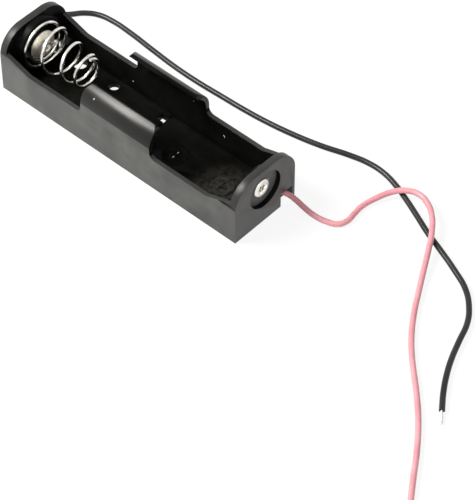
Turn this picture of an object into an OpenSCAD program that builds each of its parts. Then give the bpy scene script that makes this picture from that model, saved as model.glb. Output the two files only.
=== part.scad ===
// Holder for one AA-size cylindrical cell: a one-piece moulded tray with two
// snap-in clips, a conical spring contact at the negative end, hollow rivets
// at both ends, and a red and a black flying lead.
// Millimetres. +X runs from the negative end to the positive end, +Z is up.
// The origin is the centre of the tray's underside.

/* [Tray] */
// Length of the tray over its end walls
tray_len = 59.5; // [57:0.5:65]
// Width of the tray over its side walls
tray_w = 16.1; // [15.7:0.1:20]
// Thickness of the floor
floor_t = 1.1; // [0.8:0.1:1.6]
// Height of the side walls
side_h = 7.4; // [6:0.1:9]
// Thickness of the side walls
side_t = 0.9; // [0.8:0.1:1.4]
// Height of the end wall at the spring
negative_end_h = 13.6; // [13.4:0.1:16]
// Height of the end wall at the flat contact
positive_end_h = 12.9; // [12.8:0.1:16]
// Thickness of the end walls
end_t = 1.5; // [1.2:0.1:2.4]
// Radius of the end walls' top corners
end_corner_r = 5.2; // [1:0.1:5.4]
// Length of the ramp from a side wall's rim up to an end wall
ramp_len = 5.8; // [2:0.1:8]
// Rise of the ramp above the side wall's rim
ramp_rise = 2; // [0.5:0.1:2.6]

/* [Clips] */
// Length of each snap-in clip along the tray
clip_len = 17.4; // [8:0.2:24]
// Thickness of the clips
clip_t = 0.9; // [0.7:0.1:1.2]
// Outer radius of the clips' inward curl
clip_curl_r = 4.5; // [3:0.1:5.5]
// Angle of the curl, from upright
clip_curl_angle = 68; // [40:1:80]
// Height at which the curl starts
clip_curl_z = 9.3; // [7.8:0.1:10]
// Radius of the clips' upper corners
clip_corner_r = 1.4; // [0.4:0.1:2.5]
// Radius of the fillet at the foot of each clip end
clip_foot_r = 1.3; // [0.3:0.1:2.5]

/* [Floor] */
// Height of the raised floor under the negative half
step_h = 0.3; // [0.1:0.1:0.6]
// Distance of the floor holes from the long centre line
hole_y = 5.4; // [2:0.1:5.4]
// Distance of the large hole from the tray's middle
large_hole_x = 22.4; // [16:0.1:23]
// Diameter of the large hole
large_hole_d = 2.8; // [1.5:0.1:3]
// Distance of the small hole from the tray's middle
small_hole_x = 13.4; // [8:0.1:14]
// Diameter of the small hole
small_hole_d = 2.2; // [1:0.1:2.6]
// Length of the square window at the tray's middle
window_len = 1.6; // [0.8:0.1:3]
// Outer diameter of the two raised rings on the floor
mark_d = 5.4; // [3:0.1:8]
// Line width of the raised rings and their signs
mark_line = 0.4; // [0.2:0.05:0.8]
// Height of the raised rings and their signs
mark_h = 0.15; // [0.1:0.05:0.3]
// Distance of the middle ring from the tray's middle
mid_mark_x = 7.2; // [4:0.1:9]
// Distance of the polarity ring from the tray's middle
plus_mark_x = 18.8; // [16:0.1:21]

/* [Contacts] */
// Height of the contacts' common axis
contact_z = 7.85; // [7.4:0.05:8.4]
// Diameter of the round recess in each end face
recess_d = 8.1; // [6:0.1:9]
// Depth of the round recess in each end face
recess_depth = 1; // [0.5:0.1:1.2]
// Diameter of the round seat under the spring
spring_seat_d = 11; // [10.6:0.1:11.6]
// Diameter of the round seat at the positive contact
positive_seat_d = 7; // [6.6:0.1:8]
// Height of the round seat inside each end wall
seat_t = 1.4; // [1.2:0.1:2]
// Distance of the rivets below the centre of the recesses and the spring
rivet_drop = 0.3; // [0:0.05:0.35]
// Diameter of the hollow rivets' barrels
barrel_d = 2.4; // [1.6:0.1:3]
// Diameter of the hole through the rivets
rivet_bore_d = 1.6; // [0.8:0.1:2]
// Diameter of the rivets' flanges
flange_d = 3.8; // [3.2:0.1:4.6]
// Thickness of the rivets' flanges
flange_t = 0.35; // [0.2:0.05:0.6]
// Diameter of the washers under the inner flanges
washer_d = 6; // [5:0.1:6]
// Thickness of the washers
washer_t = 0.3; // [0.2:0.05:0.5]
// Width of the groove that leads each bare conductor across its seat
groove_w = 0.9; // [0.8:0.05:1.4]
// Depth of that groove
groove_depth = 0.7; // [0.6:0.05:1]
// Direction of that groove, from straight down towards the lead outlet
groove_angle = 40; // [36:1:44]
// Clearance between each barrel and its hole
barrel_gap = 0.05; // [0.02:0.01:0.1]

/* [Spring] */
// Diameter of the spring wire
spring_wire_d = 0.65; // [0.4:0.05:0.9]
// Mean radius at the wire's inner end on the seat
spring_seat_r = 3.5; // [3.45:0.05:4]
// Mean radius of the spring's largest turn
spring_base_r = 4.85; // [4.7:0.05:5.15]
// Mean radius where the spring's open turns end
spring_neck_r = 3.3; // [3:0.1:4]
// Mean radius at the spring's free tip
spring_tip_r = 2.85; // [2:0.05:3]
// Number of turns that lie on the seat
seat_turns = 1.15; // [1:0.05:1.4]
// Number of open turns
open_turns = 2.55; // [2:0.05:4]
// Mean pitch of the open turns
open_pitch = 4.45; // [2:0.05:5]
// Share by which the first open turns are longer than the mean
pitch_ease = 0.17; // [0:0.01:0.3]
// Number of closed turns at the free end
tip_turns = 0.95; // [0.8:0.05:2]
// Clearance between the spring and its seat
spring_gap = 0.05; // [0.02:0.01:0.1]

/* [Leads] */
// Diameter of the leads over their insulation
lead_d = 1.1; // [0.8:0.05:1.4]
// Diameter of the bare conductors
core_d = 0.5; // [0.3:0.05:0.7]
// Width of the lead outlet in each end wall
outlet_w = 3.1; // [2.8:0.1:4]
// Height of the lead outlet in each end wall
outlet_h = 3.2; // [3.1:0.1:4]
// Distance of the lead outlets from the long centre line
outlet_y = 5.8; // [5.6:0.1:6]

/* [Hidden] */
$fn = 64;

// Working allowance for cuts that pass through a face
cut = 1;
// Depth by which a raised feature is rooted in the face below it
root = 0.05;

half_len = tray_len / 2;
inner_half = half_len - end_t;
seat_x = inner_half - seat_t;
clip_curl_y = tray_w / 2 - clip_curl_r;
clip_half = clip_len / 2;
clip_top = clip_curl_z + clip_curl_r * sin(clip_curl_angle);
recess_x = half_len - recess_depth;
washer_face = seat_x - washer_t;

// Spring: turns count from the wire's inner end on the seat
spring_turns = seat_turns + open_turns + tip_turns;
spring_steps = 22;
spring_start = -0.45;
spring_x0 = -seat_x + spring_gap + spring_wire_d / 2;
tip_pitch = spring_wire_d * 0.6;
// Turns in which the seat turn widens to the largest turn
widen_turns = 0.75;
// Power with which the open turns narrow towards the free end
narrowing = 1.5;

// Leads: half the tube rests on the ground plane
lead_sides = 8;

// Red lead, from its stripped end beside the seat outwards
red_route = [
    [27.6, 4.1, 3.0], [28.0, 4.7, 2.6], [28.7, 5.3, 2.4], [29.9, 5.8, 2.3],
    [31.6, 6.1, 1.8], [33.6, 6.2, 1.1], [35.9, 6.2, 0.7], [38.6, 6.6, 0.6],
    [40.7, 7.6, 0.6], [41.4, 9.3, 0.6], [41.2, 11.4, 0.6], [41.0, 13.8, 0.6],
    [41.7, 16.8, 0.8], [43.2, 19.5, 1.4], [45.1, 21.3, 1.8], [47.6, 22.1, 1.9],
    [50.1, 21.4, 1.9], [52.6, 19.6, 1.9], [55.0, 16.7, 1.8], [57.3, 12.9, 1.5],
    [59.5, 8.9, 1.0], [61.8, 4.8, 0.7], [64.5, 0.2, 0.6], [67.3, -3.8, 0.6],
    [70.0, -7.0, 0.6], [76.2, -13.2, 0.6], [79.2, -16.4, 0.6], [81.9, -19.7, 0.6],
    [84.6, -23.4, 0.6], [87.1, -27.2, 0.6], [89.7, -31.0, 0.6], [92.9, -35.6, 0.6],
    [95.7, -40.5, 0.6], [97.3, -45.8, 0.6], [96.3, -51.1, 0.6], [92.7, -55.1, 0.6],
    [87.6, -56.6, 0.6], [82.4, -56.3, 0.6], [77.4, -54.8, 0.6], [73.3, -52.4, 0.6]
];
// Red lead's bare conductor, from its insulation along the groove to the washer
red_core_route = [
    [27.6, 4.1, 3.0], [27.3, 3.6, 3.5], [27.1, 3.2, 4.0], [27.1, 2.6, 4.8],
    [27.1, 1.9, 5.6], [27.1, 1.6, 5.9]
];
// Red lead's tinned end
red_tip_route = [[73.3, -52.4, 0.6], [72.2, -51.7, 0.5], [71.1, -50.9, 0.3]];

// Black lead, from its stripped end beside the seat outwards
black_route = [
    [-27.6, 4.1, 3.0], [-28.0, 4.7, 2.6], [-28.7, 5.3, 2.4], [-29.9, 5.8, 2.3],
    [-31.8, 6.3, 1.8], [-34.0, 7.1, 1.1], [-35.7, 8.7, 0.8], [-36.2, 10.8, 0.6],
    [-35.5, 12.9, 0.6], [-34.0, 14.7, 0.6], [-32.4, 16.6, 0.6], [-30.0, 18.1, 0.6],
    [-26.5, 18.7, 0.6], [-21.9, 18.6, 0.6], [-15.2, 18.0, 0.6], [-8.8, 17.5, 0.6],
    [-2.6, 17.4, 0.6], [3.2, 17.6, 0.6], [8.3, 17.8, 0.6], [13.4, 18.2, 0.6],
    [19.6, 19.1, 0.6], [25.5, 20.4, 0.6], [31.0, 22.1, 0.6], [34.8, 22.9, 0.6],
    [38.4, 22.9, 0.6], [42.4, 21.9, 0.6], [45.9, 20.5, 0.6], [50.1, 18.6, 0.6],
    [54.2, 16.7, 0.6], [57.8, 15.3, 0.6], [63.1, 13.1, 0.6], [67.6, 10.8, 0.6],
    [70.7, 7.9, 0.6], [72.7, 4.9, 0.6], [74.2, 0.8, 0.6], [75.7, -3.1, 0.6],
    [77.3, -6.4, 0.6], [79.4, -9.9, 0.6], [81.7, -13.1, 0.6]
];
// Black lead's bare conductor, from its insulation along the groove to the washer
black_core_route = [
    [-27.6, 4.1, 3.0], [-27.3, 3.6, 3.5], [-27.1, 3.2, 4.0], [-27.1, 2.6, 4.8],
    [-27.1, 1.9, 5.6], [-27.1, 1.6, 5.9]
];
// Black lead's tinned end
black_tip_route = [[81.7, -13.1, 0.6], [82.5, -14.1, 0.5], [83.3, -15.2, 0.3]];

// Position along the spring's axis after t turns
function spring_x(t) =
    let (open = (t - seat_turns) / open_turns)
    t < seat_turns ? spring_x0 :
    t < seat_turns + open_turns
        ? spring_x0 + open_pitch * open_turns * open * (1 + pitch_ease * (1 - open)) :
    spring_x0 + open_pitch * open_turns + tip_pitch * (t - seat_turns - open_turns);

// Mean radius of the spring after t turns
function spring_r(t) =
    t < widen_turns ? spring_seat_r + (spring_base_r - spring_seat_r) * t / widen_turns :
    t < seat_turns ? spring_base_r :
    t < seat_turns + open_turns
        ? spring_neck_r + (spring_base_r - spring_neck_r)
            * pow(1 - (t - seat_turns) / open_turns, narrowing)
        : spring_neck_r + (spring_tip_r - spring_neck_r) * (t - seat_turns - open_turns) / tip_turns;

// Point of the spring's wire after t turns, right-handed about +X
function spring_point(t) =
    let (a = 360 * (t + spring_start))
    [spring_x(t), spring_r(t) * cos(a), contact_z + spring_r(t) * sin(a)];

spring_path = [
    for (i = [0 : floor(spring_turns * spring_steps)]) spring_point(i / spring_steps)
];

function unit(v) = v / norm(v);
function tangent(path, i) =
    unit(path[min(i + 1, len(path) - 1)] - path[max(i - 1, 0)]);
function tube_ring(path, i, r, n, up) =
    let (
        t = tangent(path, i),
        side = unit(cross(t, up)),
        top = cross(side, t)
    )
    [for (k = [0 : n - 1]) path[i] + r * (cos(360 * k / n) * side + sin(360 * k / n) * top)];

// Closed round tube that follows a list of points
module tube(path, d, n, up) {
    rings = len(path);
    points = [for (i = [0 : rings - 1]) each tube_ring(path, i, d / 2, n, up)];
    sides = [
        for (i = [0 : rings - 2], k = [0 : n - 1])
            let (m = (k + 1) % n)
            each [
                [i * n + k, (i + 1) * n + m, i * n + m],
                [i * n + k, (i + 1) * n + k, (i + 1) * n + m]
            ]
    ];
    caps = [
        [for (k = [0 : n - 1]) k],
        [for (k = [n - 1 : -1 : 0]) (rings - 1) * n + k]
    ];
    polyhedron(points = points, faces = concat(sides, caps), convexity = 10);
}

// Extrudes a Y-Z outline along X
module along_x(x, length) {
    translate([x, 0, 0]) rotate([90, 0, 90]) linear_extrude(length) children();
}

// Extrudes an X-Z outline through the tray's full width
module across(y, length) {
    translate([0, y + length, 0]) rotate([90, 0, 0]) linear_extrude(length) children();
}

// Runs a Z-up child along the contacts' axis, with its base at x and its top outwards
module on_axis(x, side) {
    translate([side * x, 0, contact_z]) rotate([0, side * 90, 0]) children();
}

// The same for the rivets and washers, which sit a little lower
module on_rivet(x, side) {
    translate([0, 0, -rivet_drop]) on_axis(x, side) children();
}

// Height of the end wall, and diameter of the seat, on one side
function end_height(side) = side < 0 ? negative_end_h : positive_end_h;
function seat_d(side) = side < 0 ? spring_seat_d : positive_seat_d;

module end_outline(height) {
    shoulder = height - end_corner_r;
    translate([-tray_w / 2, 0]) square([tray_w, shoulder]);
    translate([-tray_w / 2 + end_corner_r, 0]) square([tray_w - 2 * end_corner_r, height]);
    for (s = [-1, 1])
        translate([s * (tray_w / 2 - end_corner_r), shoulder]) circle(end_corner_r);
}

// One end wall, with the two ramps that rise to it from the side walls
module end_wall(side) {
    far = side < 0 ? -half_len : inner_half;
    along_x(far, end_t) end_outline(end_height(side));
    intersection() {
        for (y = [-tray_w / 2, tray_w / 2 - side_t])
            across(y, side_t) polygon([
                [side * (inner_half - ramp_len), side_h],
                [side * (inner_half - ramp_len), side_h - root],
                [side * (inner_half + root), side_h - root],
                [side * (inner_half + root), side_h + ramp_rise]
            ]);
        along_x(-half_len, tray_len) end_outline(end_height(side));
    }
}

// Section of one clip: a straight foot on the side wall, then an arc curled inwards
module clip_section() {
    translate([tray_w / 2 - clip_t, side_h - root])
        square([clip_t, clip_curl_z - side_h + 2 * root]);
    intersection() {
        translate([clip_curl_y, clip_curl_z]) difference() {
            circle(clip_curl_r);
            circle(clip_curl_r - clip_t);
        }
        translate([clip_curl_y, clip_curl_z]) polygon([
            [0, 0], [2 * clip_curl_r, 0], [2 * clip_curl_r, 2 * clip_curl_r],
            [2 * clip_curl_r / tan(clip_curl_angle), 2 * clip_curl_r]
        ]);
    }
}

// Side view of the clips, with rounded upper corners and filleted feet
module clip_outline() {
    foot = side_h - 2 * root;
    translate([-clip_half, foot]) square([clip_len, clip_top - clip_corner_r - foot]);
    translate([-clip_half + clip_corner_r, foot])
        square([clip_len - 2 * clip_corner_r, clip_top + cut - foot]);
    for (s = [-1, 1]) {
        translate([s * (clip_half - clip_corner_r), clip_top - clip_corner_r])
            circle(clip_corner_r);
        difference() {
            translate([s * (clip_half + clip_foot_r / 2), foot + (clip_foot_r + 2 * root) / 2])
                square([clip_foot_r, clip_foot_r + 2 * root], center = true);
            translate([s * (clip_half + clip_foot_r), side_h + clip_foot_r])
                circle(clip_foot_r);
        }
    }
}

module clips() {
    reach = clip_half + clip_foot_r;
    intersection() {
        along_x(-reach, 2 * reach) {
            clip_section();
            mirror([1, 0]) clip_section();
        }
        across(-tray_w, 2 * tray_w) clip_outline();
    }
}

// Raised ring on the floor; its sign comes as a child
module mark(x, z) {
    translate([x, 0, z - root]) linear_extrude(mark_h + root) {
        difference() {
            circle(mark_d / 2);
            circle(mark_d / 2 - mark_line);
        }
        children();
    }
}

module floor_marks() {
    arm = mark_d * 0.5;
    mark(plus_mark_x, floor_t) {
        square([arm, mark_line], center = true);
        square([mark_line, arm], center = true);
    }
    // Generic cell sign: one long bar and one short bar
    mark(mid_mark_x, floor_t) {
        translate([mark_line, 0]) square([mark_line, arm], center = true);
        translate([-mark_line, 0]) square([mark_line, arm / 2], center = true);
    }
}

// One end's cuts: outer recess, rivet hole, lead outlet and conductor groove
module end_cuts(side) {
    on_axis(recess_x, side) cylinder(d = recess_d, h = recess_depth + cut);
    on_rivet(seat_x - cut, side)
        cylinder(d = barrel_d + 2 * barrel_gap, h = end_t + seat_t + 2 * cut);
    translate([side * (half_len - end_t / 2 + cut / 2), outlet_y, outlet_h / 2 - cut / 2])
        cube([end_t + cut, outlet_w, outlet_h + cut], center = true);
    mirror([side < 0 ? 1 : 0, 0, 0])
        translate([seat_x - cut, 0, contact_z]) rotate([groove_angle, 0, 0])
            translate([0, -groove_w / 2, -seat_d(side) / 2 - cut])
                cube([groove_depth + cut, groove_w, (seat_d(side) - barrel_d - groove_w) / 2 + cut]);
}

module floor_cuts() {
    deep = floor_t + step_h + 2 * cut;
    translate([-large_hole_x, hole_y, -cut]) cylinder(d = large_hole_d, h = deep);
    translate([-small_hole_x, hole_y, -cut]) cylinder(d = small_hole_d, h = deep);
    translate([-window_len, hole_y - window_len / 2, -cut])
        cube([window_len, window_len, deep]);
}

module tray() color([0.13, 0.13, 0.135]) {
    difference() {
        union() {
            difference() {
                translate([-half_len, -tray_w / 2, 0]) cube([tray_len, tray_w, side_h]);
                translate([-inner_half, -tray_w / 2 + side_t, floor_t])
                    cube([2 * inner_half, tray_w - 2 * side_t, side_h]);
            }
            for (side = [-1, 1]) end_wall(side);
            clips();
            translate([-inner_half - root, -tray_w / 2 + side_t - root, floor_t - root])
                cube([inner_half + root, tray_w - 2 * side_t + 2 * root, step_h + root]);
            for (side = [-1, 1])
                on_axis(seat_x, side) cylinder(d = seat_d(side), h = seat_t + root);
            floor_marks();
        }
        for (side = [-1, 1]) end_cuts(side);
        floor_cuts();
    }
}

// Hollow rivet: barrel through the end wall, one flange outside, one on the washer
module rivet(side) color([0.86, 0.85, 0.82]) {
    difference() {
        union() {
            on_rivet(washer_face, side) cylinder(d = barrel_d, h = recess_x - washer_face);
            on_rivet(recess_x, side) cylinder(d = flange_d, h = flange_t);
            on_rivet(washer_face - flange_t, side) cylinder(d = flange_d, h = flange_t);
        }
        on_rivet(washer_face - flange_t - cut, side)
            cylinder(d = rivet_bore_d, h = recess_x - washer_face + 2 * flange_t + 2 * cut);
    }
}

module negative_rivet() rivet(-1);

module positive_rivet() rivet(1);

module washer(side) color([0.82, 0.8, 0.74]) {
    on_rivet(washer_face, side) difference() {
        cylinder(d = washer_d, h = washer_t);
        translate([0, 0, -cut]) cylinder(d = barrel_d + 2 * barrel_gap, h = washer_t + 2 * cut);
    }
}

module negative_washer() washer(-1);

module positive_washer() washer(1);

module negative_spring() color([0.9, 0.89, 0.85])
    tube(spring_path, spring_wire_d, lead_sides, [1, 0, 0]);

module red_lead() color([0.86, 0.42, 0.45]) tube(red_route, lead_d, lead_sides, [0, 0, 1]);

module red_lead_core() color([0.8, 0.78, 0.74])
    tube(red_core_route, core_d, lead_sides, [1, 0, 0]);

module red_lead_tip() color([0.8, 0.78, 0.74])
    tube(red_tip_route, core_d, lead_sides, [0, 0, 1]);

module black_lead() color([0.15, 0.15, 0.16])
    tube(black_route, lead_d, lead_sides, [0, 0, 1]);

module black_lead_core() color([0.8, 0.78, 0.74])
    tube(black_core_route, core_d, lead_sides, [1, 0, 0]);

module black_lead_tip() color([0.8, 0.78, 0.74])
    tube(black_tip_route, core_d, lead_sides, [0, 0, 1]);

tray();
negative_spring();
negative_rivet();
negative_washer();
positive_rivet();
positive_washer();
red_lead();
red_lead_core();
red_lead_tip();
black_lead();
black_lead_core();
black_lead_tip();
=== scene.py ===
import bmesh
import bpy
import math
from mathutils import Matrix, Vector, noise


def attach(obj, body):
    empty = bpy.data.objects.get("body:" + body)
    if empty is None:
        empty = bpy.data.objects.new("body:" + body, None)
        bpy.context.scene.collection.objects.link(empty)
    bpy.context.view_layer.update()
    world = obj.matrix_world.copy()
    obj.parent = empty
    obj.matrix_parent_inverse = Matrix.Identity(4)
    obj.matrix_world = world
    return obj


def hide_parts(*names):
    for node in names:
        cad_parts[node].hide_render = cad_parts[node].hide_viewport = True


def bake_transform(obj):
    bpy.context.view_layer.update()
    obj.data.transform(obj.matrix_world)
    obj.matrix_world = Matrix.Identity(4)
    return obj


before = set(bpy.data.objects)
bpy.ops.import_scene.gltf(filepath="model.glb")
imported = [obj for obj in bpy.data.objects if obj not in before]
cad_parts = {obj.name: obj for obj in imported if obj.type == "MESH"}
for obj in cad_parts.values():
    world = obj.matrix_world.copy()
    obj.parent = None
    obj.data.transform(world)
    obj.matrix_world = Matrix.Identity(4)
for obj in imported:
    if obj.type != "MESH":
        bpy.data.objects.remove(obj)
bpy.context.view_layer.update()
mm = 0.001
holder, contact = "holder", "contact_spring"
print("frame loaded:", len(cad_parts), "nodes")


def millimetres(points):
    return [Vector(p) * mm for p in points]


def addObject(name, data):
    obj = bpy.data.objects.new(name, data)
    bpy.context.scene.collection.objects.link(obj)
    return obj


# camera: long lens, looking down on the positive end
cameraSetup = {"azimuth": 42.206, "elevation": 48.089, "lens": 187.2,
               "right": 17.04, "up": -20.44, "distance": 484.53,
               "sensorWidth": 36, "clip": (0.01, 10)}


def makeCamera(setup):
    a, e = math.radians(setup["azimuth"]), math.radians(setup["elevation"])
    right = Vector((math.cos(a), math.sin(a), 0))
    back = Vector((math.sin(a) * math.cos(e), -math.cos(a) * math.cos(e), math.sin(e)))
    up = back.cross(right)
    data = bpy.data.cameras.new("camera")
    data.lens, data.sensor_width = setup["lens"], setup["sensorWidth"]
    data.clip_start, data.clip_end = setup["clip"]
    camera = addObject("camera", data)
    place = (right * setup["right"] + up * setup["up"] + back * setup["distance"]) * mm
    turn = Matrix((right, up, back)).transposed()
    camera.matrix_world = Matrix.Translation(place) @ turn.to_4x4()
    bpy.context.scene.camera = camera


makeCamera(cameraSetup)
print("camera placed")


# node tools
def wire(tree, source, target):
    if isinstance(source, bpy.types.NodeSocket):
        tree.links.new(source, target)
    else:
        target.default_value = source


def addNode(tree, kind, values=None, **settings):
    node = tree.nodes.new(kind)
    for key, value in settings.items():
        setattr(node, key, value)
    for key, value in (values or {}).items():
        wire(tree, value, node.inputs[key])
    return node


def calc(tree, operation, a, b=0.0):
    return addNode(tree, "ShaderNodeMath", {0: a, 1: b}, operation=operation).outputs[0]


def mixColors(tree, factor, a, b):
    node = addNode(tree, "ShaderNodeMix", data_type="RGBA")
    wire(tree, factor, node.inputs[0])
    wire(tree, a, node.inputs[6])
    wire(tree, b, node.inputs[7])
    return node.outputs[2]


def stretch(tree, value, low, high, toLow=0.0, toHigh=1.0, smooth=False):
    node = addNode(tree, "ShaderNodeMapRange", {0: value, 1: low, 2: high, 3: toLow, 4: toHigh})
    if smooth:
        node.interpolation_type = "SMOOTHSTEP"
    return node.outputs[0]


def newGroup(name, inputs, outputs):
    group = bpy.data.node_groups.new(name, "ShaderNodeTree")
    for label, kind, value in inputs:
        socket = group.interface.new_socket(label, in_out="INPUT", socket_type=kind)
        if value is not None:
            socket.default_value = value
    for label, kind in outputs:
        group.interface.new_socket(label, in_out="OUTPUT", socket_type=kind)
    return group, group.nodes.new("NodeGroupInput"), group.nodes.new("NodeGroupOutput")


numberIn, vectorIn, colorIn = "NodeSocketFloat", "NodeSocketVector", "NodeSocketColor"


# fine moulded grain: a height for Bump and a slow tone change
def grainGroup():
    group, start, end = newGroup(
        "mouldGrain",
        [("Vector", vectorIn, None), ("Grain Scale", numberIn, 9000.0),
         ("Cloud Scale", numberIn, 160.0)],
        [("Height", numberIn), ("Cloud", numberIn)])
    fine = addNode(group, "ShaderNodeTexNoise",
                   {"Vector": start.outputs["Vector"], "Scale": start.outputs["Grain Scale"],
                    "Detail": 3.0, "Roughness": 0.6})
    slow = addNode(group, "ShaderNodeTexNoise",
                   {"Vector": start.outputs["Vector"], "Scale": start.outputs["Cloud Scale"],
                    "Detail": 4.0, "Roughness": 0.55})
    wire(group, fine.outputs[0], end.inputs["Height"])
    wire(group, stretch(group, slow.outputs[0], 0.3, 0.7), end.inputs["Cloud"])
    return group


# scattered dust: a mask of few, small, irregular specks
dustShape = {"wobbleScale": 3000.0, "wobble": 0.0006}


def dustGroup():
    group, start, end = newGroup(
        "dustSpecks",
        [("Vector", vectorIn, None), ("Scale", numberIn, 520.0),
         ("Size", numberIn, 0.1), ("Share", numberIn, 0.1)],
        [("Mask", numberIn)])
    wobble = addNode(group, "ShaderNodeTexNoise",
                     {"Vector": start.outputs["Vector"], "Scale": dustShape["wobbleScale"],
                      "Detail": 1.0})
    shift = addNode(group, "ShaderNodeVectorMath",
                    {0: wobble.outputs[1], 1: (dustShape["wobble"],) * 3},
                    operation="MULTIPLY")
    moved = addNode(group, "ShaderNodeVectorMath",
                    {0: start.outputs["Vector"], 1: shift.outputs[0]}, operation="ADD")
    cells = addNode(group, "ShaderNodeTexVoronoi",
                    {"Vector": moved.outputs[0], "Scale": start.outputs["Scale"]})
    parts = addNode(group, "ShaderNodeSeparateColor", {0: cells.outputs["Color"]})
    near = calc(group, "LESS_THAN", cells.outputs["Distance"], start.outputs["Size"])
    chosen = calc(group, "LESS_THAN", parts.outputs[0], start.outputs["Share"])
    wire(group, calc(group, "MULTIPLY", near, chosen), end.inputs["Mask"])
    return group


mouldGrain, dustSpecks = grainGroup(), dustGroup()


def newMaterial(name):
    material = bpy.data.materials.new(name)
    material.use_nodes = True
    tree = material.node_tree
    shader = tree.nodes["Principled BSDF"]
    place = addNode(tree, "ShaderNodeTexCoord").outputs["Object"]
    return material, tree, shader, place


def useGroup(tree, group, values):
    node = addNode(tree, "ShaderNodeGroup")
    node.node_tree = group
    for key, value in values.items():
        wire(tree, value, node.inputs[key])
    return node


def addRoughness(tree, shader, source, low, high):
    wire(tree, stretch(tree, source, *grainSpan, low, high), shader.inputs["Roughness"])


def addGrain(tree, shader, height, strength, distance):
    bump = addNode(tree, "ShaderNodeBump",
                   {"Height": height, "Strength": strength, "Distance": distance})
    wire(tree, bump.outputs[0], shader.inputs["Normal"])


grainSpan = (0.3, 0.7)


# soft spot round one place: a mask that fades with distance, for a rougher finish whose lighter
# tone is a painted glow of light falling into the bay
glowPatchShape = {"fullShare": 0.35, "unevenScale": 900.0, "unevenSpan": (0.3, 0.65)}


def glowPatchGroup():
    group, start, end = newGroup(
        "mattePatchAndPaintedGlow",
        [("Vector", vectorIn, None), ("Centre", vectorIn, None), ("Reach", numberIn, 0.007)],
        [("Mask", numberIn)])
    gap = addNode(group, "ShaderNodeVectorMath",
                  {0: start.outputs["Vector"], 1: start.outputs["Centre"]},
                  operation="DISTANCE").outputs["Value"]
    half = calc(group, "MULTIPLY", start.outputs["Reach"], glowPatchShape["fullShare"])
    fade = stretch(group, gap, start.outputs["Reach"], half, smooth=True)
    patchy = addNode(group, "ShaderNodeTexNoise",
                     {"Vector": start.outputs["Vector"], "Scale": glowPatchShape["unevenScale"],
                      "Detail": 5.0})
    uneven = stretch(group, patchy.outputs[0], *glowPatchShape["unevenSpan"])
    wire(group, calc(group, "MULTIPLY", fade, uneven), end.inputs["Mask"])
    return group


mattePatchAndPaintedGlow = glowPatchGroup()

# black moulding: one plastic, with a textured outside and a polished inside; its darker copies
# on up-facing tops and on the clip curls are painted shade, its lighter copy on the eased edges
# is a painted highlight, and the inside's lighter spot is a painted glow of light
mouldings = {
    "mouldOutside": {"dark": (0.03, 0.03, 0.029, 1), "light": (0.082, 0.082, 0.08, 1),
                     "roughness": (0.46, 0.6), "specular": 0.5, "grain": 0.5,
                     "dust": 0.05, "dustTone": (0.45, 0.45, 0.43, 1)},
    "mouldInside": {"dark": (0.002, 0.002, 0.002, 1), "light": (0.005, 0.005, 0.0047, 1),
                    "roughness": (0.16, 0.34), "specular": 0.05, "grain": 0.08,
                    "dust": 0.07, "dustTone": (0.5, 0.5, 0.46, 1),
                    # near the plus end: a rougher finish, its lighter tone a painted glow of
                    # light
                    "paintedGlowPatch": {"centre": (0.0205, -0.001, 0.0011), "reach": 0.0085,
                              "tone": (0.03, 0.029, 0.025, 1), "roughness": 0.5}},
    # clip curls: a darker, less reflective copy that paints a dark reflection band
    "mouldClipPaintedShade": {"dark": (0.004, 0.0039, 0.0033, 1), "light": (0.009, 0.0087, 0.0074, 1),
                  "roughness": (0.27, 0.33), "specular": 0.3, "grain": 0.1,
                  "dust": 0.03, "dustTone": (0.4, 0.4, 0.36, 1)},
    # up-facing tops: a darker copy that is painted shade
    "mouldTopPaintedShade": {"dark": (0.01, 0.01, 0.01, 1), "light": (0.026, 0.026, 0.025, 1),
                 "roughness": (0.3, 0.44), "specular": 0.28, "grain": 0.25,
                 "dust": 0.05, "dustTone": (0.5, 0.5, 0.48, 1)},
    # eased outer edges: a lighter copy that is a painted highlight
    "mouldEdgePaintedHighlight": {"dark": (0.12, 0.12, 0.118, 1), "light": (0.2, 0.2, 0.195, 1),
                  "roughness": (0.3, 0.46), "specular": 0.5, "grain": 0.15,
                  "dust": 0.05, "dustTone": (0.5, 0.5, 0.48, 1)},
}


mouldGrainDepth = 0.04 * mm


def mouldMaterial(name, look):
    material, tree, shader, place = newMaterial(name)
    grain = useGroup(tree, mouldGrain, {"Vector": place})
    dust = useGroup(tree, dustSpecks, {"Vector": place, "Share": look["dust"]})
    tone = mixColors(tree, grain.outputs["Cloud"], look["dark"], look["light"])
    low, high = look["roughness"]
    rough = stretch(tree, grain.outputs["Cloud"], 0.0, 1.0, low, high)
    # lighter spot on the floor: a painted glow of light, with a rougher finish
    if "paintedGlowPatch" in look:
        paintedGlowPatch = look["paintedGlowPatch"]
        matteAndGlow = useGroup(tree, mattePatchAndPaintedGlow, {"Vector": place, "Centre": paintedGlowPatch["centre"],
                                            "Reach": paintedGlowPatch["reach"]}).outputs["Mask"]
        tone = mixColors(tree, matteAndGlow, tone, paintedGlowPatch["tone"])
        rough = stretch(tree, matteAndGlow, 0.0, 1.0, rough, paintedGlowPatch["roughness"])
    color = mixColors(tree, dust.outputs["Mask"], tone, look["dustTone"])
    wire(tree, color, shader.inputs["Base Color"])
    wire(tree, rough, shader.inputs["Roughness"])
    shader.inputs["Specular IOR Level"].default_value = look["specular"]
    addGrain(tree, shader, grain.outputs["Height"], look["grain"], mouldGrainDepth)
    return material


mouldMaterials = {name: mouldMaterial(name, look) for name, look in mouldings.items()}


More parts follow.
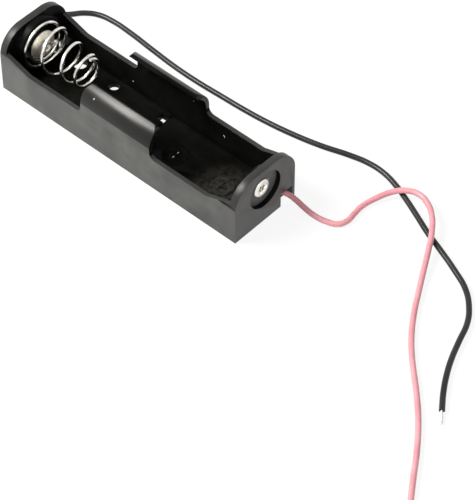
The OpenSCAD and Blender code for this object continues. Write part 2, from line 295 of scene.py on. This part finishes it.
# plated metal and tin: bright, with a faint warm cast and a cloudy tone
metals = {
    "springNickel": {"tones": ((0.52, 0.5, 0.46, 1), (0.95, 0.94, 0.9, 1)),
                     "roughness": (0.1, 0.26), "clouds": 900.0},
    "rivetNickel": {"tones": ((0.8, 0.78, 0.73, 1), (0.95, 0.93, 0.88, 1)),
                    "roughness": (0.22, 0.42), "clouds": 900.0},
    "washerNickel": {"tones": ((0.6, 0.55, 0.43, 1), (0.97, 0.94, 0.84, 1)),
                     "roughness": (0.4, 0.55), "clouds": 650.0},
    "solderTin": {"tones": ((0.7, 0.68, 0.62, 1), (0.98, 0.97, 0.93, 1)),
                  "roughness": (0.36, 0.5), "clouds": 1400.0},
    "tinnedCopper": {"tones": ((0.5, 0.48, 0.45, 1), (0.82, 0.8, 0.76, 1)),
                     "roughness": (0.28, 0.5), "clouds": 1500.0},
}


metalGrain = {"scale": 12000.0, "strength": 0.12, "depth": 0.02 * mm}


def metalMaterial(name, look):
    material, tree, shader, place = newMaterial(name)
    grain = useGroup(tree, mouldGrain, {"Vector": place, "Cloud Scale": look["clouds"],
                                        "Grain Scale": metalGrain["scale"]})
    tone = mixColors(tree, grain.outputs["Cloud"], *look["tones"])
    wire(tree, tone, shader.inputs["Base Color"])
    shader.inputs["Metallic"].default_value = 1.0
    addRoughness(tree, shader, grain.outputs["Height"], *look["roughness"])
    addGrain(tree, shader, grain.outputs["Height"], metalGrain["strength"],
             metalGrain["depth"])
    return material


metalMaterials = {name: metalMaterial(name, look) for name, look in metals.items()}


# PVC insulation: soft gloss, with a fine grain and a slow change of tone
insulations = {
    "redInsulation": {"tones": ((0.64, 0.25, 0.285, 1), (0.78, 0.36, 0.4, 1)),
                      "roughness": (0.3, 0.46), "specular": 0.35},
    "blackInsulation": {"tones": ((0.012, 0.012, 0.0125, 1), (0.024, 0.024, 0.025, 1)),
                        "roughness": (0.22, 0.34), "specular": 0.25},
}


insulationGrain = {"scale": 5000.0, "clouds": 240.0, "strength": 0.1, "depth": 0.03 * mm}


def insulationMaterial(name, look):
    material, tree, shader, place = newMaterial(name)
    grain = useGroup(tree, mouldGrain, {"Vector": place,
                                        "Cloud Scale": insulationGrain["clouds"],
                                        "Grain Scale": insulationGrain["scale"]})
    tone = mixColors(tree, grain.outputs["Cloud"], *look["tones"])
    wire(tree, tone, shader.inputs["Base Color"])
    addRoughness(tree, shader, grain.outputs["Height"], *look["roughness"])
    shader.inputs["Specular IOR Level"].default_value = look["specular"]
    addGrain(tree, shader, grain.outputs["Height"], insulationGrain["strength"],
             insulationGrain["depth"])
    return material


leadMaterials = {name: insulationMaterial(name, look) for name, look in insulations.items()}
print("materials made")

# leads: the same route points as the part's source, in millimetres
leads = {
    "diameter": 1.1, "stepsPerPoint": 8, "ringSteps": 5,
    "red": {
        "length": 149.1, "exit": (29.9, 5.8, 2.3),
        "route": [
            (27.6, 4.1, 3.0), (28.0, 4.7, 2.6), (28.7, 5.3, 2.4), (29.9, 5.8, 2.3),
            (31.6, 6.1, 1.8), (33.6, 6.2, 1.1), (35.9, 6.2, 0.7), (38.6, 6.6, 0.6),
            (40.7, 7.6, 0.6), (41.4, 9.3, 0.6), (41.2, 11.4, 0.6), (41.0, 13.8, 0.6),
            (41.7, 16.8, 0.8), (43.2, 19.5, 1.4), (45.1, 21.3, 1.8), (47.6, 22.1, 1.9),
            (50.1, 21.4, 1.9), (52.6, 19.6, 1.9), (55.0, 16.7, 1.8), (57.3, 12.9, 1.5),
            (59.5, 8.9, 1.0), (61.8, 4.8, 0.7), (64.5, 0.2, 0.6), (67.3, -3.8, 0.6),
            (70.0, -7.0, 0.6), (76.2, -13.2, 0.6), (79.2, -16.4, 0.6), (81.9, -19.7, 0.6),
            (84.6, -23.4, 0.6), (87.1, -27.2, 0.6), (89.7, -31.0, 0.6), (92.9, -35.6, 0.6),
            (95.7, -40.5, 0.6), (97.3, -45.8, 0.6), (96.3, -51.1, 0.6), (92.7, -55.1, 0.6),
            (87.6, -56.6, 0.6), (82.4, -56.3, 0.6), (77.4, -54.8, 0.6), (73.3, -52.4, 0.6)],
        "core": [
            (27.6, 4.1, 3.0), (27.3, 3.6, 3.5), (27.1, 3.2, 4.0), (27.1, 2.6, 4.8),
            (27.1, 1.9, 5.6), (27.1, 1.6, 5.9)],
        "tip": [(73.3, -52.4, 0.6), (72.2, -51.7, 0.5), (71.1, -50.9, 0.3)],
    },
    "black": {
        "length": 150.8, "exit": (-29.9, 5.8, 2.3),
        "route": [
            (-27.6, 4.1, 3.0), (-28.0, 4.7, 2.6), (-28.7, 5.3, 2.4), (-29.9, 5.8, 2.3),
            (-31.8, 6.3, 1.8), (-34.0, 7.1, 1.1), (-35.7, 8.7, 0.8), (-36.2, 10.8, 0.6),
            (-35.5, 12.9, 0.6), (-34.0, 14.7, 0.6), (-32.4, 16.6, 0.6), (-30.0, 18.1, 0.6),
            (-26.5, 18.7, 0.6), (-21.9, 18.6, 0.6), (-15.2, 18.0, 0.6), (-8.8, 17.5, 0.6),
            (-2.6, 17.4, 0.6), (3.2, 17.6, 0.6), (8.3, 17.8, 0.6), (13.4, 18.2, 0.6),
            (19.6, 19.1, 0.6), (25.5, 20.4, 0.6), (31.0, 22.1, 0.6), (34.8, 22.9, 0.6),
            (38.4, 22.9, 0.6), (42.4, 21.9, 0.6), (45.9, 20.5, 0.6), (50.1, 18.6, 0.6),
            (54.2, 16.7, 0.6), (57.8, 15.3, 0.6), (63.1, 13.1, 0.6), (67.6, 10.8, 0.6),
            (70.7, 7.9, 0.6), (72.7, 4.9, 0.6), (74.2, 0.8, 0.6), (75.7, -3.1, 0.6),
            (77.3, -6.4, 0.6), (79.4, -9.9, 0.6), (81.7, -13.1, 0.6)],
        "core": [
            (-27.6, 4.1, 3.0), (-27.3, 3.6, 3.5), (-27.1, 3.2, 4.0), (-27.1, 2.6, 4.8),
            (-27.1, 1.9, 5.6), (-27.1, 1.6, 5.9)],
        "tip": [(81.7, -13.1, 0.6), (82.5, -14.1, 0.5), (83.3, -15.2, 0.3)],
    },
}


def routeCurve(name, points, radius=0.0):
    data = bpy.data.curves.new(name, "CURVE")
    data.dimensions = "3D"
    spline = data.splines.new("BEZIER")
    spline.bezier_points.add(len(points) - 1)
    for handle, point in zip(spline.bezier_points, millimetres(points)):
        handle.co = point
        handle.handle_left_type = handle.handle_right_type = "AUTO"
    spline.resolution_u = leads["stepsPerPoint"]
    data.bevel_depth, data.bevel_resolution = radius * mm, leads["ringSteps"]
    data.use_fill_caps = radius > 0
    return addObject(name, data)


def finishMesh(obj, name, material=None):
    # the evaluated shape as a plain mesh of its own, with no modifiers left
    bpy.context.view_layer.update()
    graph = bpy.context.evaluated_depsgraph_get()
    mesh = bpy.data.meshes.new_from_object(obj.evaluated_get(graph), depsgraph=graph)
    bpy.data.objects.remove(obj)
    mesh.name = name
    if material:
        mesh.materials.clear()
        mesh.materials.append(material)
    return addObject(name, mesh)


# stranded conductor: strands laid in a helix round a centre strand
conductor = {"strands": 6, "strandRadius": 0.092, "layRadius": 0.16, "twistsPerMetre": 260.0,
             "step": 0.12, "sides": 8}


def newGeometryTree(name, inputs):
    tree = bpy.data.node_groups.new(name, "GeometryNodeTree")
    tree.interface.new_socket("Geometry", in_out="INPUT", socket_type="NodeSocketGeometry")
    for label, kind, value in inputs:
        socket = tree.interface.new_socket(label, in_out="INPUT", socket_type=kind)
        if value is not None:
            socket.default_value = value
    tree.interface.new_socket("Geometry", in_out="OUTPUT", socket_type="NodeSocketGeometry")
    return tree, tree.nodes.new("NodeGroupInput").outputs, tree.nodes.new("NodeGroupOutput")


def closeTree(tree, end, geometry, material):
    smooth = addNode(tree, "GeometryNodeSetShadeSmooth", {"Geometry": geometry})
    real = addNode(tree, "GeometryNodeRealizeInstances", {"Geometry": smooth.outputs[0]})
    painted = addNode(tree, "GeometryNodeSetMaterial",
                      {"Geometry": real.outputs[0], "Material": material})
    wire(tree, painted.outputs[0], end.inputs[0])


def roundWire(tree, curve, radius, sides):
    circle = addNode(tree, "GeometryNodeCurvePrimitiveCircle",
                     {"Resolution": sides, "Radius": radius})
    node = addNode(tree, "GeometryNodeCurveToMesh",
                   {"Curve": curve, "Profile Curve": circle.outputs[0], "Fill Caps": True})
    return node.outputs[0]


def strandTree():
    tree, given, end = newGeometryTree("strandedConductor", [
        ("Strands", "NodeSocketInt", 6), ("Strand Radius", numberIn, 0.0001),
        ("Lay Radius", numberIn, 0.0002), ("Twists Per Metre", numberIn, 250.0),
        ("Step", numberIn, 0.0002), ("Material", "NodeSocketMaterial", None)])
    even = addNode(tree, "GeometryNodeResampleCurve",
                   {"Curve": given["Geometry"], "Length": given["Step"]}, mode="LENGTH")
    keep = addNode(tree, "GeometryNodeCaptureAttribute", {"Geometry": even.outputs[0]})
    keep.capture_items.new("VECTOR", "Tangent")
    keep.capture_items.new("VECTOR", "Normal")
    wire(tree, addNode(tree, "GeometryNodeInputTangent").outputs[0], keep.inputs["Tangent"])
    wire(tree, addNode(tree, "GeometryNodeInputNormal").outputs[0], keep.inputs["Normal"])
    copies = addNode(tree, "GeometryNodeDuplicateElements",
                     {"Geometry": keep.outputs[0], "Amount": given["Strands"]},
                     domain="SPLINE")
    along = addNode(tree, "GeometryNodeSplineParameter").outputs["Length"]
    share = calc(tree, "DIVIDE", copies.outputs["Duplicate Index"], given["Strands"])
    turns = calc(tree, "ADD", share, calc(tree, "MULTIPLY", along, given["Twists Per Metre"]))
    angle = calc(tree, "MULTIPLY", turns, 2 * math.pi)
    side = addNode(tree, "ShaderNodeVectorMath",
                   {0: keep.outputs["Tangent"], 1: keep.outputs["Normal"]},
                   operation="CROSS_PRODUCT").outputs[0]
    offsets = []
    for way, wave in ((keep.outputs["Normal"], "COSINE"), (side, "SINE")):
        reach = calc(tree, "MULTIPLY", calc(tree, wave, angle), given["Lay Radius"])
        node = addNode(tree, "ShaderNodeVectorMath", {0: way}, operation="SCALE")
        wire(tree, reach, node.inputs["Scale"])
        offsets.append(node.outputs[0])
    total = addNode(tree, "ShaderNodeVectorMath", {0: offsets[0], 1: offsets[1]},
                    operation="ADD").outputs[0]
    laid = addNode(tree, "GeometryNodeSetPosition",
                   {"Geometry": copies.outputs[0], "Offset": total})
    outer = roundWire(tree, laid.outputs[0], given["Strand Radius"], conductor["sides"])
    centre = roundWire(tree, even.outputs[0], given["Strand Radius"], conductor["sides"])
    both = addNode(tree, "GeometryNodeJoinGeometry")
    wire(tree, outer, both.inputs[0])
    wire(tree, centre, both.inputs[0])
    closeTree(tree, end, both.outputs[0], given["Material"])
    return tree


def runTree(obj, tree, values, name):
    modifier = obj.modifiers.new(name, "NODES")
    modifier.node_group = tree
    sockets = {item.name: item.identifier for item in tree.interface.items_tree
               if item.in_out == "INPUT"}
    for label, value in values.items():
        modifier[sockets[label]] = value
    return finishMesh(obj, name)


strandedConductor = strandTree()


def addConductor(name, points, nodeName):
    wireRun = runTree(routeCurve(name + "Line", points), strandedConductor, {
        "Strands": conductor["strands"], "Strand Radius": conductor["strandRadius"] * mm,
        "Lay Radius": conductor["layRadius"] * mm,
        "Twists Per Metre": conductor["twistsPerMetre"], "Step": conductor["step"] * mm,
        "Material": metalMaterials["tinnedCopper"]}, name)
    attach(wireRun, holder)
    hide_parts(nodeName)
    return wireRun


def addLead(tone):
    look = leads[tone]
    lead = routeCurve(tone + "Lead", look["route"], leads["diameter"] / 2)
    lead.data.materials.append(leadMaterials[tone + "Insulation"])
    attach(lead, holder)
    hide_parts(tone + "_lead")
    ends = [addConductor(tone + "Core", look["core"], tone + "_lead_core"),
            addConductor(tone + "Tip", look["tip"], tone + "_lead_tip")]
    print(tone, "lead laid")


addLead("red")
addLead("black")

# tray: the moulding with its edges eased, and each kind of surface given its finish, with
# painted shade on the tops and clip curls and a painted highlight on the eased outer edges
tray = {"easing": 0.14, "easeSteps": 2, "sharpAngle": 32, "sharpShade": 30,
        "halfLength": 29.75, "halfWidth": 8.05, "contactHeight": 7.85, "recessRadius": 4.05,
        "rimHeight": 7.4, "clipHalf": 10.0, "clipRise": 1.5, "rimInside": 6.9,
        "endDepth": 1.6, "recessDepth": 1.1, "skin": 0.03, "weld": 0.002, "flatAngle": 0.6}
# material slot of the eased edges, which outside the bay take a painted highlight
edgeHighlightSlot = 3


def weldedCopy(nodeName, name):
    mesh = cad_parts[nodeName].data.copy()
    shape = bmesh.new()
    shape.from_mesh(mesh)
    bmesh.ops.remove_doubles(shape, verts=shape.verts, dist=tray["weld"] * mm)
    bmesh.ops.dissolve_degenerate(shape, edges=shape.edges, dist=tray["weld"] * mm)
    bmesh.ops.dissolve_limit(shape, angle_limit=math.radians(tray["flatAngle"]),
                             verts=shape.verts, edges=shape.edges)
    shape.to_mesh(mesh)
    shape.free()
    mesh.name = name
    return addObject(name, mesh)


def trayFinishAndPaintedTone(centre, normal, size):
    # which finish a face of the moulding has, from where it lies and which way it looks, with
    # painted shade on up-facing tops and clip curls
    x, y, z = (v / mm for v in centre)
    near = size["skin"]
    pastEnd, pastSide = size["halfLength"] - near, size["halfWidth"] - near
    if abs(y) > pastSide or abs(x) > pastEnd or z < near:
        return "mouldOutside"
    fromAxis = math.hypot(y, z - size["contactHeight"])
    # in the contact recess the face-on floor takes the outside plastic and the walls the
    # near-black inside plastic
    if (abs(x) > size["halfLength"] - size["recessDepth"]
            and fromAxis < size["recessRadius"] - near):
        return "mouldOutside" if abs(normal.x) > 0.9 else "mouldInside"
    # outer faces of the clip curls: darker copy, a painted dark reflection band
    onClip = z > size["rimHeight"] + size["clipRise"] and abs(x) < size["clipHalf"]
    if onClip and normal.y * y > 0:
        return "mouldClipPaintedShade"
    # up-facing rim tops and the end walls' top band: darker copy, painted shade
    if z > size["rimHeight"] - near and normal.z > 0.5 and abs(y) > size["rimInside"]:
        return "mouldTopPaintedShade"
    onEnd = abs(x) > size["halfLength"] - size["endDepth"]
    if onEnd and z > size["contactHeight"] and normal.z > 0.05:
        return "mouldTopPaintedShade"
    return "mouldInside"


def addTray():
    shell = weldedCopy("tray", "trayShell")
    ease = shell.modifiers.new("ease", "BEVEL")
    ease.width, ease.segments = tray["easing"] * mm, tray["easeSteps"]
    ease.limit_method, ease.angle_limit = "ANGLE", math.radians(tray["sharpAngle"])
    ease.use_clamp_overlap, ease.miter_outer = True, "MITER_ARC"
    ease.material = edgeHighlightSlot
    order = ["mouldInside", "mouldOutside", "mouldClipPaintedShade", "mouldEdgePaintedHighlight", "mouldTopPaintedShade"]
    shell.data.materials.clear()
    for name in order:
        shell.data.materials.append(mouldMaterials[name])
    for face in shell.data.polygons:
        face.material_index = order.index(trayFinishAndPaintedTone(face.center, face.normal, tray))
    body = finishMesh(shell, "trayShell")
    body.data.shade_smooth()
    body.data.set_sharp_from_angle(angle=math.radians(tray["sharpShade"]))
    # eased edges outside the bay: lighter copy, a painted highlight
    for face in body.data.polygons:
        if face.material_index == edgeHighlightSlot:
            kind = trayFinishAndPaintedTone(face.center, face.normal, tray)
            face.material_index = order.index("mouldInside" if kind == "mouldInside"
                                              else "mouldEdgePaintedHighlight")
    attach(body, holder)
    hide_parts("tray")
    return body


addTray()
print("tray finished")

# contact spring: a coil that widens on its seat, then narrows towards its free end
coil = {"wireDiameter": 0.65, "seatRadius": 3.5, "baseRadius": 4.85, "neckRadius": 3.3,
        "tipRadius": 2.85, "seatTurns": 1.15, "openTurns": 2.55, "tipTurns": 0.95,
        "openPitch": 4.45, "pitchEase": 0.17, "tipPitch": 0.39, "widenTurns": 0.75,
        "narrowing": 1.5, "startTurn": -0.45, "startX": -26.475, "axisHeight": 7.85,
        "stepsPerTurn": 64, "wireSides": 20, "blendFrom": -26.9, "blendTo": -13.4}


def coilTree():
    tree, given, end = newGeometryTree("taperedCoil", [
        ("Wire Radius", numberIn, 0.0003), ("Seat Radius", numberIn, 0.004),
        ("Base Radius", numberIn, 0.005), ("Neck Radius", numberIn, 0.0036),
        ("Tip Radius", numberIn, 0.0027), ("Seat Turns", numberIn, 1.4),
        ("Open Turns", numberIn, 2.6), ("Tip Turns", numberIn, 1.2),
        ("Open Pitch", numberIn, 0.0044), ("Tip Pitch", numberIn, 0.0004),
        ("Pitch Ease", numberIn, 0.0), ("Widen Turns", numberIn, 0.75),
        ("Narrowing", numberIn, 1.5), ("Start Turn", numberIn, 0.0),
        ("Start X", numberIn, 0.0), ("Axis Height", numberIn, 0.0),
        ("Points", "NodeSocketInt", 200), ("Wire Sides", "NodeSocketInt", 12),
        ("Material", "NodeSocketMaterial", None)])
    line = addNode(tree, "GeometryNodeCurvePrimitiveLine", {"End": (1.0, 0.0, 0.0)})
    even = addNode(tree, "GeometryNodeResampleCurve",
                   {"Curve": line.outputs[0], "Count": given["Points"]}, mode="COUNT")
    beforeTip = calc(tree, "ADD", given["Seat Turns"], given["Open Turns"])
    allTurns = calc(tree, "ADD", beforeTip, given["Tip Turns"])
    share = addNode(tree, "GeometryNodeSplineParameter").outputs["Factor"]
    turn = calc(tree, "MULTIPLY", share, allTurns)
    widened = stretch(tree, turn, 0.0, given["Widen Turns"])
    opened = stretch(tree, turn, given["Seat Turns"], beforeTip)
    tipped = stretch(tree, turn, beforeTip, allTurns)
    # distance along the axis
    eased = calc(tree, "MULTIPLY", given["Pitch Ease"], calc(tree, "SUBTRACT", 1.0, opened))
    sprung = calc(tree, "MULTIPLY", opened, calc(tree, "ADD", 1.0, eased))
    rise = calc(tree, "MULTIPLY", calc(tree, "MULTIPLY", sprung, given["Open Turns"]),
                given["Open Pitch"])
    tipRise = calc(tree, "MULTIPLY", calc(tree, "MULTIPLY", tipped, given["Tip Turns"]),
                   given["Tip Pitch"])
    x = calc(tree, "ADD", given["Start X"], calc(tree, "ADD", rise, tipRise))
    # distance from the axis
    left = calc(tree, "POWER", calc(tree, "SUBTRACT", 1.0, opened), given["Narrowing"])
    narrowed = calc(tree, "SUBTRACT", 1.0, left)
    grow = calc(tree, "MULTIPLY", widened,
                calc(tree, "SUBTRACT", given["Base Radius"], given["Seat Radius"]))
    shrink = calc(tree, "MULTIPLY", narrowed,
                  calc(tree, "SUBTRACT", given["Neck Radius"], given["Base Radius"]))
    close = calc(tree, "MULTIPLY", tipped,
                 calc(tree, "SUBTRACT", given["Tip Radius"], given["Neck Radius"]))
    radius = calc(tree, "ADD", calc(tree, "ADD", given["Seat Radius"], grow),
                  calc(tree, "ADD", shrink, close))
    angle = calc(tree, "MULTIPLY", calc(tree, "ADD", turn, given["Start Turn"]), 2 * math.pi)
    y = calc(tree, "MULTIPLY", radius, calc(tree, "COSINE", angle))
    z = calc(tree, "ADD", given["Axis Height"],
             calc(tree, "MULTIPLY", radius, calc(tree, "SINE", angle)))
    place = addNode(tree, "ShaderNodeCombineXYZ", {0: x, 1: y, 2: z}).outputs[0]
    laid = addNode(tree, "GeometryNodeSetPosition",
                   {"Geometry": even.outputs[0], "Position": place})
    closeTree(tree, end, roundWire(tree, laid.outputs[0], given["Wire Radius"],
                                   given["Wire Sides"]), given["Material"])
    return tree


def addSpring():
    turns = coil["seatTurns"] + coil["openTurns"] + coil["tipTurns"]
    start = addObject("coilStart", bpy.data.meshes.new("coilStart"))
    spring = runTree(start, coilTree(), {
        "Wire Radius": coil["wireDiameter"] * mm / 2, "Seat Radius": coil["seatRadius"] * mm,
        "Base Radius": coil["baseRadius"] * mm, "Neck Radius": coil["neckRadius"] * mm,
        "Tip Radius": coil["tipRadius"] * mm, "Seat Turns": coil["seatTurns"],
        "Open Turns": coil["openTurns"], "Tip Turns": coil["tipTurns"],
        "Open Pitch": coil["openPitch"] * mm, "Tip Pitch": coil["tipPitch"] * mm,
        "Pitch Ease": coil["pitchEase"], "Widen Turns": coil["widenTurns"],
        "Narrowing": coil["narrowing"], "Start Turn": coil["startTurn"],
        "Start X": coil["startX"] * mm, "Axis Height": coil["axisHeight"] * mm,
        "Points": round(turns * coil["stepsPerTurn"]), "Wire Sides": coil["wireSides"],
        "Material": metalMaterials["springNickel"]}, "contactSpring")
    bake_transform(spring)
    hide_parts("negative_spring")


addSpring()
print("spring wound")

# hollow rivets and washers, turned about the contacts' axis
rivet = {"recessX": 28.75, "washerFace": 26.55, "washerThickness": 0.3, "barrel": 1.2,
         "bore": 0.8, "flange": 1.9, "flangeThickness": 0.35, "washer": 3.0,
         "washerGap": 0.05, "axisHeight": 7.55, "steps": 96, "sharpShade": 50,
         "petals": 6, "petalWidth": 0.25, "petalClose": 0.12, "petalOpen": 0.36,
         "petalSharpness": 6,
         "dome": {"negative": 0.85, "positive": 0.34}, "domeSteps": 10, "domePower": 2.2,
         "innerFlange": {"negative": 1.3, "positive": 1.9},
         # corners as (in from the face, out from the bore or in from the rim)
         "innerLip": ((0.12, 0.0), (0.03, 0.08), (0.0, 0.25)),
         "innerRim": ((0.0, 0.35), (0.06, 0.12), (0.17, 0.0)),
         "outerRim": ((0.08, 0.14), (0.0, 0.4), (0.0, 0.75)),
         "outerLip": ((0.05, 0.2), (0.2, 0.02)),
         "underLip": 0.1, "recessRim": (0.12, 0.04), "washerCorner": (0.03, 0.1, 0.05)}


def turned(name, profile, side, material, swing=None):
    # a closed profile of (x, radius) pairs, turned once about the contacts' axis
    shape = bmesh.new()
    rings = []
    for step in range(rivet["steps"]):
        angle = 2 * math.pi * step / rivet["steps"]
        ring = []
        for x, radius in profile:
            reach = radius + (swing(x, radius, angle) if swing else 0)
            ring.append(shape.verts.new(Vector((
                side * x, reach * math.cos(angle),
                rivet["axisHeight"] + reach * math.sin(angle))) * mm))
        rings.append(ring)
    count = len(profile)
    for step in range(rivet["steps"]):
        here, there = rings[step], rings[(step + 1) % rivet["steps"]]
        for k in range(count):
            m = (k + 1) % count
            shape.faces.new((here[k], here[m], there[m], there[k]))
    bmesh.ops.recalc_face_normals(shape, faces=shape.faces)
    mesh = bpy.data.meshes.new(name)
    shape.to_mesh(mesh)
    shape.free()
    mesh.materials.append(material)
    mesh.shade_smooth()
    mesh.set_sharp_from_angle(angle=math.radians(rivet["sharpShade"]))
    return addObject(name, mesh)


def petalSwing(x, radius, angle):
    # the split lip of the outer flange: its hole opens between the petals
    if x < rivet["recessX"] or radius > rivet["bore"] + rivet["petalWidth"]:
        return 0
    notch = abs(math.cos(angle * rivet["petals"] / 2)) ** rivet["petalSharpness"]
    return -rivet["petalClose"] + notch * rivet["petalOpen"]


def rivetProfile(label):
    innerFlange = rivet["innerFlange"][label]
    inner = rivet["washerFace"] - rivet["dome"][label] - rivet["flangeThickness"]
    seat = inner + rivet["flangeThickness"] + rivet["underLip"]
    recess = rivet["recessX"]
    outer = recess + rivet["flangeThickness"]
    bore, barrel, flange = rivet["bore"], rivet["barrel"], rivet["flange"]
    rise, trim = rivet["recessRim"]
    return ([(inner + depth, bore + out) for depth, out in rivet["innerLip"]]
            + [(inner + depth, innerFlange - back) for depth, back in rivet["innerRim"]]
            + [(seat, innerFlange), (seat, barrel), (recess, barrel),
               (recess, flange - trim), (recess + rise, flange)]
            + [(outer - depth, flange - back) for depth, back in rivet["outerRim"]]
            + [(outer - depth, bore + out) for depth, out in rivet["outerLip"]]
            + [(recess, bore)])


def washerProfile(label):
    # domed towards the cell, flat behind
    inner = rivet["washerFace"]
    outer = inner + rivet["washerThickness"]
    rim, hole = rivet["washer"], rivet["barrel"] + rivet["washerGap"]
    corner, ease, under = rivet["washerCorner"]
    face = []
    for step in range(rivet["domeSteps"] + 1):
        share = step / rivet["domeSteps"]
        drop = rivet["dome"][label] * (1 - share ** rivet["domePower"])
        face.append((inner - drop, hole + share * (rim - ease - hole)))
    return face + [(inner + corner, rim - corner), (inner + ease, rim),
                   (outer - under, rim), (outer, rim - under), (outer, hole)]


def addContacts():
    for label, side in (("negative", -1), ("positive", 1)):
        eyelet = turned(label + "Rivet", rivetProfile(label), side,
                        metalMaterials["rivetNickel"], petalSwing)
        disc = turned(label + "Washer", washerProfile(label), side,
                      metalMaterials["washerNickel"])
        for piece, nodeName in ((eyelet, label + "_rivet"), (disc, label + "_washer")):
            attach(piece, holder)
            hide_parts(nodeName)


addContacts()
print("rivets and washers set")

# solder where each lead's conductor meets its contact: a low, uneven bead
solder = {"radius": 1.05, "depth": 0.55, "lumps": 0.3, "lumpScale": 1.9,
          "subdivisions": 4, "places": {"black": (-27.0, 3.3, 5.4), "red": (27.0, 2.6, 4.8)}}


def addSolder(tone):
    centre = Vector(solder["places"][tone])
    shape = bmesh.new()
    bmesh.ops.create_icosphere(shape, subdivisions=solder["subdivisions"], radius=1)
    for vert in shape.verts:
        lump = noise.noise(vert.co * solder["lumpScale"] + centre)
        reach = solder["radius"] * (1 + solder["lumps"] * lump)
        x, y, z = vert.co
        vert.co = (Vector((solder["depth"] * x, reach * y, reach * z)) + centre) * mm
    mesh = bpy.data.meshes.new(tone + "Solder")
    shape.to_mesh(mesh)
    shape.free()
    mesh.materials.append(metalMaterials["solderTin"])
    mesh.shade_smooth()
    bead = addObject(tone + "Solder", mesh)
    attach(bead, holder)


for tone in solder["places"]:
    addSolder(tone)
print("solder beads set")

# studio: pale floor, soft lamps, white surroundings for camera, gloss and glass
studio = {"floorSize": 3.0, "floorDrop": 0.03, "floorRoughness": 0.9, "floorTone": 0.8,
          "floorSeen": 0.12, "floorLift": 0.88, "skyLight": 0.32,
          "lamps": [
              {"name": "key", "from": (-0.45, -0.42, 0.78), "size": 0.13, "power": 1.35,
               "distance": 0.28, "color": (1.0, 0.985, 0.93)},
              {"name": "front", "from": (0.78, -0.32, 0.54), "size": 0.26, "power": 0.6,
               "distance": 0.5, "color": (1.0, 0.99, 0.96)}]}


def seenRays(tree):
    # 1 for camera, glossy and transmission rays
    rays = addNode(tree, "ShaderNodeLightPath").outputs
    both = calc(tree, "MAXIMUM", rays["Is Camera Ray"], rays["Is Glossy Ray"])
    return calc(tree, "MAXIMUM", both, rays["Is Transmission Ray"])


def makeStudio():
    size = studio["floorSize"] / 2
    mesh = bpy.data.meshes.new("floor")
    drop = -studio["floorDrop"] * mm
    mesh.from_pydata([(-size, -size, drop), (size, -size, drop), (size, size, drop),
                      (-size, size, drop)], [], [(0, 1, 2, 3)])
    floor = addObject("floor", mesh)
    material = bpy.data.materials.new("paleFloor")
    material.use_nodes = True
    tree = material.node_tree
    shader = tree.nodes["Principled BSDF"]
    tone = studio["floorTone"]
    seen = seenRays(tree)
    shown = (studio["floorSeen"],) * 3 + (1,)
    wire(tree, mixColors(tree, seen, (tone, tone, tone, 1), shown), shader.inputs["Base Color"])
    shader.inputs["Roughness"].default_value = studio["floorRoughness"]
    shader.inputs["Specular IOR Level"].default_value = 0.0
    shader.inputs["Emission Color"].default_value = (1, 1, 1, 1)
    lift = calc(tree, "MULTIPLY", seen, studio["floorLift"])
    wire(tree, lift, shader.inputs["Emission Strength"])
    mesh.materials.append(material)

    world = bpy.data.worlds.new("studioWorld")
    bpy.context.scene.world = world
    world.use_nodes = True
    tree = world.node_tree
    sky = tree.nodes["Background"]
    seen = seenRays(tree)
    sky.inputs["Color"].default_value = (1, 1, 1, 1)
    wire(tree, stretch(tree, seen, 0.0, 1.0, studio["skyLight"], 1.0), sky.inputs["Strength"])

    for lamp in studio["lamps"]:
        data = bpy.data.lights.new(lamp["name"], "AREA")
        data.shape, data.size, data.energy = "SQUARE", lamp["size"], lamp["power"]
        data.color = lamp["color"]
        light = addObject(lamp["name"], data)
        way = Vector(lamp["from"]).normalized()
        turn = way.to_track_quat("Z", "Y").to_matrix().to_4x4()
        light.matrix_world = Matrix.Translation(way * lamp["distance"]) @ turn
        light.visible_camera = False


makeStudio()
bpy.context.scene.view_settings.view_transform = "Standard"
print("studio lit")
